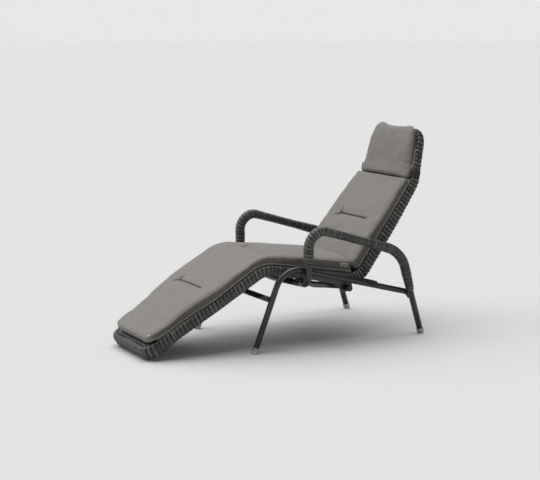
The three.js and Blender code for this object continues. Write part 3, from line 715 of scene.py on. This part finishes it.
def end_line(s_end, inward, radius, s_joint):
    """Round the shell's end, from a joint on one rail to the same joint on the other."""
    corner = s_end + inward * radius
    c = float(rail_centre(corner))
    lead = np.linspace(s_joint, corner, 24)
    turn = np.linspace(0, np.pi / 2, 20)[1:]
    x = np.r_[rail_centre(lead), c - radius + radius * np.cos(turn)]
    s = np.r_[lead, s_end + inward * radius * (1 - np.sin(turn))]
    sunk = 3.5 * smooth(150, 60, s)          # the foot bar lies a little lower
    half = on_shell(x, s, -RAIL_DROP - sunk)
    other = half[::-1] * [-1, 1, 1]
    bar = np.linspace(half[-1], other[0], 30)[1:-1]
    return np.vstack([half, bar, other])


def shell_relief(lobe, pocket_at):
    """Three strands wound abreast, with a pocket between the lobes on one side."""
    return lambda u, angle: wound(u, angle, LOBE / LOBE_STRANDS, LOBE_STRANDS, LOBE_GROOVE, lobe,
                                  pocket_at)


rail_s = np.arange(FOOT_JOINT + 0.6, HEAD_JOINT - 0.6, 2.1)
# the lobes lie flatter from the middle of the leg part to the seat
rail_lobe = np.interp(rail_s, [320, 400, 860, 1150, 1300], [LOBE_DEPTH, 2.2, 1.8, 3.0, LOBE_DEPTH])
for label, side in SIDES:
    line = on_shell(side * rail_centre(rail_s), rail_s, -RAIL_DROP)
    relief = shell_relief(rail_lobe[:, None], np.pi * (0.75 if side > 0 else 0.25))
    sleeve(f"rail_wicker_wound_{label}", f"rail_wicker_{label}", line, shell_up, RAIL_WIDTH,
           shell_depth, relief, 36, "lounge", 0.75)

foot_line = end_line(-5, 1, FOOT_BEND, FOOT_JOINT)
head_line = end_line(LENGTH, -1, HEAD_BEND, HEAD_JOINT)
foot_total = distances(foot_line)[-1]


def foot_relief(u, angle):
    """Wound on the rails and round the corners, and plaited along the bar between them."""
    around = angle[None] * FOOT_ROUND / (2 * np.pi)
    inward, shade, deep = plaited(u[:, None] + 0 * around, around, FOOT_ROUND / FOOT_ROWS,
                                  FOOT_STAKE, 2.6, 3.4)
    # the lower edge of the bar is scalloped where the stakes turn under
    scallop = 1 - np.abs(np.cos(np.pi * u / 19))[:, None]
    inward = inward + 4.0 * scallop * clamp(-np.sin(angle))[None] ** 4
    middle = smooth(150, 185, u) * (1 - smooth(foot_total - 185, foot_total - 150, u))
    wrapped = shell_relief(ROUND_LOBE_DEPTH, np.pi / 4)(u, angle)
    return blended(middle[:, None], wrapped, (inward, shade, deep))


sleeve("foot_wicker_woven", "foot_wicker", foot_line, shell_up, RAIL_WIDTH, shell_depth,
       foot_relief, 88, "lounge", 0.7, 2.0)
sleeve("head_wicker_wound", "head_wicker", head_line, shell_up, RAIL_WIDTH, shell_depth,
       shell_relief(ROUND_LOBE_DEPTH, np.pi * 0.75), 36, "lounge", 0.75, 2.1)

# ---------- woven panels ----------
ROW, STAKE = 8.8, 27.0
PANEL_BREAKS = [13, 650, 1180, 1835, LENGTH - 13]


def panel(name, s0, s1):
    """Rows of strands across the shell, over and under stakes that run along it."""
    rows, columns = int((s1 - s0) / (ROW / 3)) + 1, 97
    s = np.linspace(s0, s1, rows)[:, None]
    # the panel's corners follow the rounded ends of the shell
    inset = 0
    for bend, past in ((FOOT_BEND, FOOT_BEND - s), (HEAD_BEND, s - (LENGTH - HEAD_BEND))):
        inset = inset + bend - np.sqrt(bend ** 2 - np.clip(past, 0, bend) ** 2)
    x = np.linspace(-1, 1, columns)[None] * (rail_centre(s) - RAIL_WIDTH / 2 + 6 - inset)
    top = np.minimum(rail_depth(s), RAIL_DEPTH) / 2 - 3
    crest, number = round_top(s / ROW), np.floor(s / ROW)
    over = np.cos(np.pi * (x / STAKE + number))
    upper = top - 1.6 + crest + 0.4 * (1 - over)
    under = top - 7 - 1.4 * crest - 0.75 * (1 + over)
    points = np.vstack([on_shell(x, s, n).reshape(-1, 3) for n in (upper, under)])
    weave = np.stack([s + 0 * x, x, 0 * x], -1).reshape(-1, 3)
    shade = (0.25 + 0.75 * random_of(number + 11) + 0 * x).ravel()
    # deep: mask for painted shade in the grooves between rows and where rows pass under the stakes
    groove = clamp(1.15 - crest * 1.2) * 0.7
    deep = [clamp(groove + 0.35 * clamp(face * over)).ravel() for face in (1, -1)]
    fields = {"weave": np.vstack([weave, weave]), "strand": np.r_[shade, shade],
              "deep": np.concatenate(deep)}
    make(f"{name}_plaited", points, slab_faces(rows, columns), WICKER, "lounge", [name],
         fields)


for name, s0, s1 in zip(("leg_weave", "seat_weave", "back_weave", "head_weave"),
                        PANEL_BREAKS, PANEL_BREAKS[1:]):
    panel(name, s0 + 0.6, s1 - 0.6)

# twin border strands along the inner top edge of each rail
s = np.arange(70, LENGTH - 85, 7.0)
for label, side in SIDES:
    for number, inset in enumerate((6.5, 12.0)):
        height = rail_depth(s) / 2 - 2.4 - 0.1 * inset
        wobble = 0.5 * np.sin(s / LOBE * np.pi + number * 1.6)
        line = on_shell(side * (rail_centre(s) - inset), s, height + wobble)
        points, faces = sweep(line, shell_up(line), *round_section(len(line), 10, 2.4))
        weave = np.repeat(np.stack([0 * s, s, 0 * s], 1), 10, 0)
        # strand 0.9 and deep 0 give these strands the lightest tone and nearly all of the painted
        # crest highlight
        fields = {"weave": np.vstack([weave, weave[:2]]), "strand": np.full(len(points), 0.9),
                  "deep": np.zeros(len(points))}
        make(f"border_strand_{label}_{number}", points, faces, WICKER, "lounge",
             fields=fields)


# ---------- cushions ----------
def solved(body):
    """The points and faces that an object's modifiers give; the object is removed."""
    result = body.evaluated_get(bpy.context.evaluated_depsgraph_get()).to_mesh()
    points = np.zeros(len(result.vertices) * 3)
    result.vertices.foreach_get("co", points)
    faces = [list(p.vertices) for p in result.polygons]
    mesh = body.data
    bpy.data.objects.remove(body)
    bpy.data.meshes.remove(mesh)
    return points.reshape(-1, 3), faces


class Pad:
    """A padded cushion laid out flat: x across, s along, n up. Its grid has a top and an underside
    that share the outline; edge rings roll the surface over from one to the other."""

    RINGS = 6

    def __init__(self, s0, s1, width, thick, low, roll, corners, power, fine=(), rim=None):
        self.width, self.thick, self.low, self.rim = width, thick, low, rim
        widest = float(np.max(width(np.linspace(s0, s1, 60))))
        edge = roll * (1 - np.cos(np.linspace(0, np.pi / 2, self.RINGS + 1)))[:-1]
        x_inner = np.linspace(-widest + roll, widest - roll, int((widest - roll) * 2 / 6) + 1)
        # rows are closer near a seam
        s_inner = [s0 + roll]
        while s_inner[-1] < s1 - roll:
            near_seam = any(abs(s_inner[-1] - s) < 45 for s in fine)
            s_inner.append(s_inner[-1] + (4.0 if near_seam else 8.0))
        s_inner = np.array(s_inner) - s0 - roll
        s_inner = s0 + roll + s_inner * (s1 - s0 - 2 * roll) / s_inner[-1]
        x, s = np.meshgrid(np.r_[-widest + edge, x_inner, (widest - edge)[::-1]],
                           np.r_[s0 + edge, s_inner, (s1 - edge)[::-1]])
        rows, columns = x.shape
        i, j = np.meshgrid(np.arange(rows), np.arange(columns), indexing="ij")
        ring = np.minimum.reduce([i, rows - 1 - i, j, columns - 1 - j])
        # round the outline's corners: foot end then far end
        for radius, from_start in zip(corners, (True, False)):
            ds = (s - s0) if from_start else (s1 - s)
            p, q = 1 - (widest - np.abs(x)) / radius, 1 - ds / radius
            inside = (p > 0) & (q > 0)
            across = p * np.sqrt(clamp(1 - q * q / 2))
            along = radius * (1 - q * np.sqrt(clamp(1 - p * p / 2)))
            x = np.where(inside, np.sign(x) * (widest - radius * (1 - across)), x)
            s = np.where(inside, (s0 + along) if from_start else (s1 - along), s)
        x = x * width(s) / widest
        bottom, top = low(s), low(s) + thick(s)
        middle = rim(s) if rim else bottom + thick(s) * 0.42
        rise = np.sin(np.minimum(ring, self.RINGS) / self.RINGS * np.pi / 2) ** power
        upper, under = middle + (top - middle) * rise, middle - (middle - bottom) * rise
        inner = ring > 0
        top_index = np.arange(inner.size).reshape(inner.shape)
        beneath = inner.size - 1 + np.cumsum(inner).reshape(inner.shape)
        self.under_index = np.where(inner, beneath, top_index)
        self.points = np.vstack([np.stack([x, s, upper], -1).reshape(-1, 3),
                                 np.stack([x, s, under], -1)[inner]])
        down = grid_quads(self.under_index)[:, [0, 3, 2, 1]]
        self.faces = np.vstack([grid_quads(top_index), down]).tolist()

    def inflate(self, pressure, limit, frames=14):
        """Cloth simulation of the filled cover: no gravity, movement limited."""
        body = mesh_object("filling", self.points * MM, self.faces)
        cloth = body.modifiers.new("cloth", "CLOTH")
        for key, value in {
            "quality": 4, "mass": 0.25, "tension_stiffness": 12, "compression_stiffness": 12,
            "shear_stiffness": 6, "bending_stiffness": 0.4, "use_pressure": True,
            "uniform_pressure_force": pressure,
        }.items():
            setattr(cloth.settings, key, value)
        cloth.settings.effector_weights.gravity = 0
        cloth.collision_settings.use_collision = False
        cloth.point_cache.frame_start, cloth.point_cache.frame_end = 1, frames
        for number in range(1, frames + 1):
            scene.frame_set(number)
        after, _ = solved(body)
        scene.frame_set(1)
        move = after / MM - self.points
        size = np.linalg.norm(move, axis=1, keepdims=True)
        self.points = self.points + move * np.minimum(1, limit / np.maximum(size, 1e-6))

    def refined(self):
        """One round of subdivision, as points and faces, still flat."""
        body = mesh_object("refining", self.points, self.faces)
        body.modifiers.new("finer", "SUBSURF").levels = 1
        return solved(body)


# creases that run out from a seam's end: heading from straight on, length and depth
CREASES = ((-78, 56, 7.0), (-30, 40, 3.0), (34, 66, 7.0), (104, 34, 3.0))


def seam_dip(x, s, s_line, reach, depth):
    """A stitched line across a pad, with a soft dip round it and creases at its ends;
    also how deep in a fold each point lies, which the cloth takes as painted shade."""
    ds = s - s_line
    along = smooth(-3, 9, reach - np.abs(x))
    dip = along * depth * bell(ds, 0, 4.4)
    dip = dip + 4.5 * bell(ds, 0, 30) * (1 - smooth(reach * 0.7, reach * 1.5, np.abs(x)))
    fold = 0.85 * along * bell(ds, 0, 3.6)
    # the filling is pulled in harder at one end of the line than at the other
    for end, strength in ((-1, 1.0), (1, 0.25)):
        dx = (x - end * reach) * end
        far = np.hypot(dx, ds)
        dip = dip + strength * 6.5 * bell(far, 0, 9)
        fold = fold + strength * bell(far, 0, 7)
        for heading, length, deep in CREASES:
            turn = math.radians(heading * end)
            on = dx * math.cos(turn) + ds * math.sin(turn)
            off = ds * math.cos(turn) - dx * math.sin(turn)
            crease = bell(off / (3.4 + 0.06 * np.abs(on)), 0, 1)
            crease = crease * smooth(-1, 7, on) * (1 - smooth(length * 0.25, length, on))
            dip = dip + strength * deep * crease
            fold = fold + strength * deep / 12 * crease
    return dip, fold


def finish_pad(pad, name, node, place, seams, wrinkles, crown=None):
    """The pad's seams, unevenness and wrinkles, put in their place on the shell. Gives the piece,
    with its points there and laid out flat."""
    points, faces = pad.refined()
    x, s, n = points.T.copy()
    low, thick = pad.low(s), pad.thick(s)
    above = smooth(0.55, 0.9, (n - low) / thick)
    fold = 0 * x
    for seam in seams:
        dip, creased = seam_dip(x, s, *seam)
        n, fold = n - above * dip, fold + above * creased
    if crown:
        n = n + above * crown(s) * (1 - clamp(np.abs(x) / pad.width(s)) ** 2.5)
    # broad unevenness of the filling, strongest on top
    n = n + above * (1.5 * lumps(x, s, 260, 1.0) + 0.7 * lumps(x, s, 90, 2.3))
    dx, dn = wrinkles(x, s, (n - low) / thick)
    x, n = x + dx, n + dn
    n = np.maximum(n, np.minimum(low, pad.rim(s)) if pad.rim else low)
    flat, world = np.stack([x, s, n], 1), place(x, s, n)
    # the fold field is the mask for painted shade in the folds and creases
    piece = make(name, world, faces, FABRIC, "lounge", [node],
                 {"flat": flat, "fold": clamp(fold)})
    # side: mask for the painted shade on faces turned to either side, taken from the x part of the
    # normals
    facing = np.zeros(len(world) * 3)
    piece.data.vertices.foreach_get("normal", facing)
    side = smooth(0.72, 0.97, np.abs(facing[::3])).astype(np.float32)
    piece.data.attributes.new("side", "FLOAT", "POINT").data.foreach_set("value", side)
    return piece, world, flat


def piping(name, pad, place):
    """Piping sewn round a pad's lower edge."""
    line = pad.points[border(pad.under_index[1:-1, 1:-1])]
    line = line + np.stack([np.sign(line[:, 0]) * 1.2 * (np.abs(line[:, 0]) > 100),
                            0 * line[:, 0], 0 * line[:, 0] - 3.0], 1)
    line = np.vstack([line, line[:1]])
    line[1:-1] = (line[:-2] + 2 * line[1:-1] + line[2:]) / 4
    line, far = respaced(place(*line.T), 4.0)
    second = shell_up(line) + 0.02 * unit(np.gradient(line, axis=0))
    points, faces = sweep(line, second, *round_section(len(line), 8, 3.0))
    flat = np.repeat(np.stack([0 * far, np.arange(len(far)) * 4.0, 0 * far], 1), 8, 0)
    make(name, points, faces, PIPING, "lounge",
         fields={"flat": np.vstack([flat, flat[:2]])})


SWELL = 6.0  # the covers start this much slacker than they end
SEAM_DEPTH = 10.0


def cushion_low(s):
    return rail_depth(s) / 2 + 1.2


def cushion_half(s):
    return half_width(s) - 16


def seat_half(s):
    """A little slack in the leg part, and fuller towards the knee."""
    return cushion_half(s) - 9 * bell(s, 225, 90) + 11 * bell(s, 430, 90)


def pillow_low(s):
    return rail_depth(s) / 2 + 1.5


def pillow_thick(s):
    return pillow_top(s) - pillow_low(s)


def by_station(stations, sizes):
    return lambda s: np.interp(s, stations, sizes)


seat_thick = by_station([0, 300, 640, 800, 1184], [31, 45, 39, 47, 62])
seat_crown = by_station([100, 420, 560, 660, 780, 900, 1200], [0, 3, -6, -9, 0, 20, 22])
back_thick = by_station([1246, 1600, 1846], [60, 42, 38])
# the pillow saddles the rails: its thin edges droop over their outer sides
pillow_half = by_station([1846, 1880, 1905, 1930, 1985, 2050, 2100, 2126],
                         [222, 224, 221, 214, 205, 197, 186, 176])
pillow_top = by_station([1846, 1880, 1925, 1985, 2050, 2126], [54, 52, 48, 48, 44, 30])
pillow_rim = by_station([1846, 1862, 1885, 2000, 2060, 2126], [26, 20, 5, 2, 5, 12])


def side_face(x, s, height):
    """1 half way up a cushion's side, fading to 0 over its top."""
    upright = smooth(0.86, 0.97, np.abs(x) / cushion_half(s))
    return upright * clamp(1.4 - np.abs(height - 0.45) * 2)


def seat_wrinkles(x, s, height):
    """Short upright folds in the side where the pad bends at the knee, and by its rear corner."""
    knee = 2.6 * np.sin(s / 4.0 + 1.6 * np.sin(s / 31)) * bell(s, 790, 85)
    knee = knee * smooth(0.3, 0.7, height)
    rear = 1.8 * np.sin(s / 2.6 + height * 2) * bell(s, 1172, 26)
    return np.sign(x) * side_face(x, s, height) * (knee + rear), 0 * x


def back_wrinkles(x, s, height):
    """Short folds in the side by the back's lower corner."""
    folds = np.sin(s / 2.7 + height * 2.5) * bell(s, 1300, 26) * 1.5
    return np.sign(x) * side_face(x, s, height) * folds, 0 * x


def pillow_wrinkles(x, s, height):
    """A crowned middle, and small folds that run in from one side."""
    folds = 2.8 * smooth(120, 190, x) * bell(s, 1925, 30) * np.sin(s / 4.6 + 0.03 * x)
    crown = 7.0 * (1 - (x / 220) ** 2) - 5.0
    return 0 * x, (folds + crown) * smooth(0.3, 0.8, height)


def filled(thick, slack, pressure, limit, s0, s1, half, *shape, **more):
    """A pad laid out slack, that much thinner than it ends, and swollen by its filling."""
    pad = Pad(s0, s1, half, lambda s: thick(s) - slack, *shape, **more)
    pad.inflate(pressure, limit)
    pad.thick = thick
    return pad


seat = filled(seat_thick, SWELL * 0.6, 4.0, SWELL, 24, 1214, lambda s: seat_half(s) - SWELL / 2 - 1,
              cushion_low, 12, (58, 24), 0.55, (418, 772))
seat_piece, seat_world, seat_flat = finish_pad(
    seat, "seat_cushion_sewn", "seat_cushion", on_seat,
    [(418, 119, SEAM_DEPTH), (772, 116, SEAM_DEPTH)], seat_wrinkles, seat_crown)
piping("seat_cushion_piping", seat, on_seat)

back = filled(back_thick, SWELL * 0.6, 4.0, SWELL, 1281, 1850,
              lambda s: cushion_half(s) - SWELL / 2 - 1, cushion_low, 12, (28, 22), 0.55, (1563,))
finish_pad(back, "back_cushion_sewn", "back_cushion", on_back, [(1557, 118, SEAM_DEPTH)],
           back_wrinkles)
piping("back_cushion_piping", back, on_back)

pillow = filled(pillow_thick, 4, 4.5, 7.0, 1847, 2120, lambda s: pillow_half(s) - 2, pillow_low,
                22, (30, 52), 0.8, rim=pillow_rim)
finish_pad(pillow, "head_pillow_sewn", "head_pillow", on_head, [], pillow_wrinkles)

# ---------- pillow strap ----------
STRAP_S, STRAP_WIDTH, STRAP_THICK, STRAP_BEND = 1866, 36, 1.6, 12
strap_half, strap_n = float(half_width(STRAP_S)) + 0.6, 19.6
quarter = np.linspace(0, 90, 9)
a = np.radians(np.concatenate([quarter, quarter + 90, quarter + 180, quarter + 270]))
out_x, out_n = np.cos(a), np.sin(a)
corner_x, corner_n = np.repeat([1, -1, -1, 1], 9), np.repeat([1, 1, -1, -1], 9)
loop_x = corner_x * (strap_half - STRAP_BEND) + STRAP_BEND * out_x
loop_n = corner_n * (strap_n - STRAP_BEND) + STRAP_BEND * out_n
rings = []
for face, way in ((0, 1), (1, -1)):
    # across the band on its inner face, and back on its outer one
    for w in np.linspace(0, STRAP_WIDTH, 7)[::way]:
        grow = face * STRAP_THICK + way * 0.35 * (1 - np.sin(np.pi * w / STRAP_WIDTH))
        rings.append(on_shell(loop_x + grow * out_x, STRAP_S + w + 0 * a, loop_n + grow * out_n))
index = np.arange(len(rings) * len(a)).reshape(len(rings), len(a))
beside = np.roll(index, -1, 1)
faces = np.stack([index, beside, np.roll(beside, -1, 0), np.roll(index, -1, 0)], -1)
make("pillow_strap_elastic", np.vstack(rings), faces.reshape(-1, 4).tolist(), BAND, "lounge",
     ["pillow_strap"])

# ---------- small fabric details ----------
LABEL_S, LABEL_N, LABEL_THICK = (1134, 1177), (55, 72), 0.9


def patch(name, material, inset=0.0, lift=0.0):
    """A small sewn label on the seat cushion's side, with rounded edges."""
    rows, columns = 7, 13
    u, v = np.meshgrid(np.linspace(0, 1, columns), np.linspace(0, 1, rows))
    s, n = (low + inset + (high - low - 2 * inset) * part
            for (low, high), part in ((LABEL_S, u), (LABEL_N, v)))
    edge = np.minimum.reduce([u, 1 - u, v * 0.6, (1 - v) * 0.6])
    outer = cushion_half(s) + 0.4 + lift
    bulge = LABEL_THICK * clamp(edge / 0.06) ** 0.5
    points = np.vstack([on_shell(x, s, n).reshape(-1, 3) for x in (outer + bulge, outer - 3.0)])
    flat = np.stack([s, n, 0 * s], -1).reshape(-1, 3)
    make(name, points, slab_faces(rows, columns), material, "lounge",
         fields={"flat": np.vstack([flat, flat])})


patch("blank_label_edge", LABEL_EDGE)
patch("blank_label", LABEL, 2.2, 0.5)

# snap fasteners at the seat cushion's two foot corners
SNAP_X, SNAP_S = 182.0, 50.0
for label, side in SIDES:
    far = np.hypot(seat_flat[:, 0] - side * SNAP_X, seat_flat[:, 1] - SNAP_S)
    far = far + 1000 * (seat_flat[:, 2] < cushion_low(SNAP_S) + 12)
    k = int(far.argmin())
    outward = np.array(seat_piece.data.vertices[k].normal)
    turned(f"corner_snap_{label}", (seat_world[k] - 4 * outward, seat_world[k] + 2 * outward), [
        (0, 6.4), (0.7, 7.0), (0.88, 6.6), (1.0, 5.4), (0.95, 4.4), (0.8, 3.6), (0.78, 1.2),
    ], STEEL, "lounge", sides=28)

# ---------- stage, light and camera ----------
bpy.ops.mesh.primitive_plane_add(size=3000, location=(0, 0, -0.0005))
floor = bpy.context.object
floor.name = "floor"
m = Nodes("pale_floor")
tone = m.mix(m.noise(m.place(), 0.7, 2), (0.655, 0.655, 0.65), (0.675, 0.675, 0.67))
floor.data.materials.append(m.finish(Base_Color=tone, Roughness=0.9, Specular_IOR_Level=0.1))

# a soft even sky, brighter along the horizon
scene.world = scene.world or bpy.data.worlds.new("studio")
sky = Nodes("studio", scene.world, "Background")
height = sky.add("SeparateXYZ", "Z", {0: sky.place("Generated")})
sky.finish(Color=(1, 1, 1), Strength=sky.ramp(height, 0.14, 0.3, 0.80, 0.24))


def soft_sun(name, towards, strength, spread):
    """Even soft light from far off; towards is where it comes from."""
    light = bpy.data.lights.new(name, "SUN")
    light.energy, light.angle = strength, math.radians(spread)
    in_scene(name, light).rotation_euler = Vector(towards).to_track_quat("Z", "Y").to_euler()


soft_sun("overhead", (-0.40, -0.09, 1.0), 2.95, 80)
soft_sun("foot_side", (-0.35, -1.0, 0.42), 0.24, 10)

AZIMUTH, ELEVATION, DISTANCE = math.radians(60.232), math.radians(9.214), 6.607
LENS, SENSOR = 85.77333, 36
target = Vector((0, -0.002, 0.498))
level = math.cos(ELEVATION)
back_to = Vector((math.sin(AZIMUTH) * level, -math.cos(AZIMUTH) * level, math.sin(ELEVATION)))
camera = in_scene("camera", bpy.data.cameras.new("camera"))
camera.location = target + back_to * DISTANCE
camera.rotation_euler = (-back_to).to_track_quat("-Z", "Y").to_euler()
camera.data.sensor_width, camera.data.lens = SENSOR, LENS
camera.data.clip_end = 200
scene.camera = camera
scene.view_settings.view_transform = "Standard"
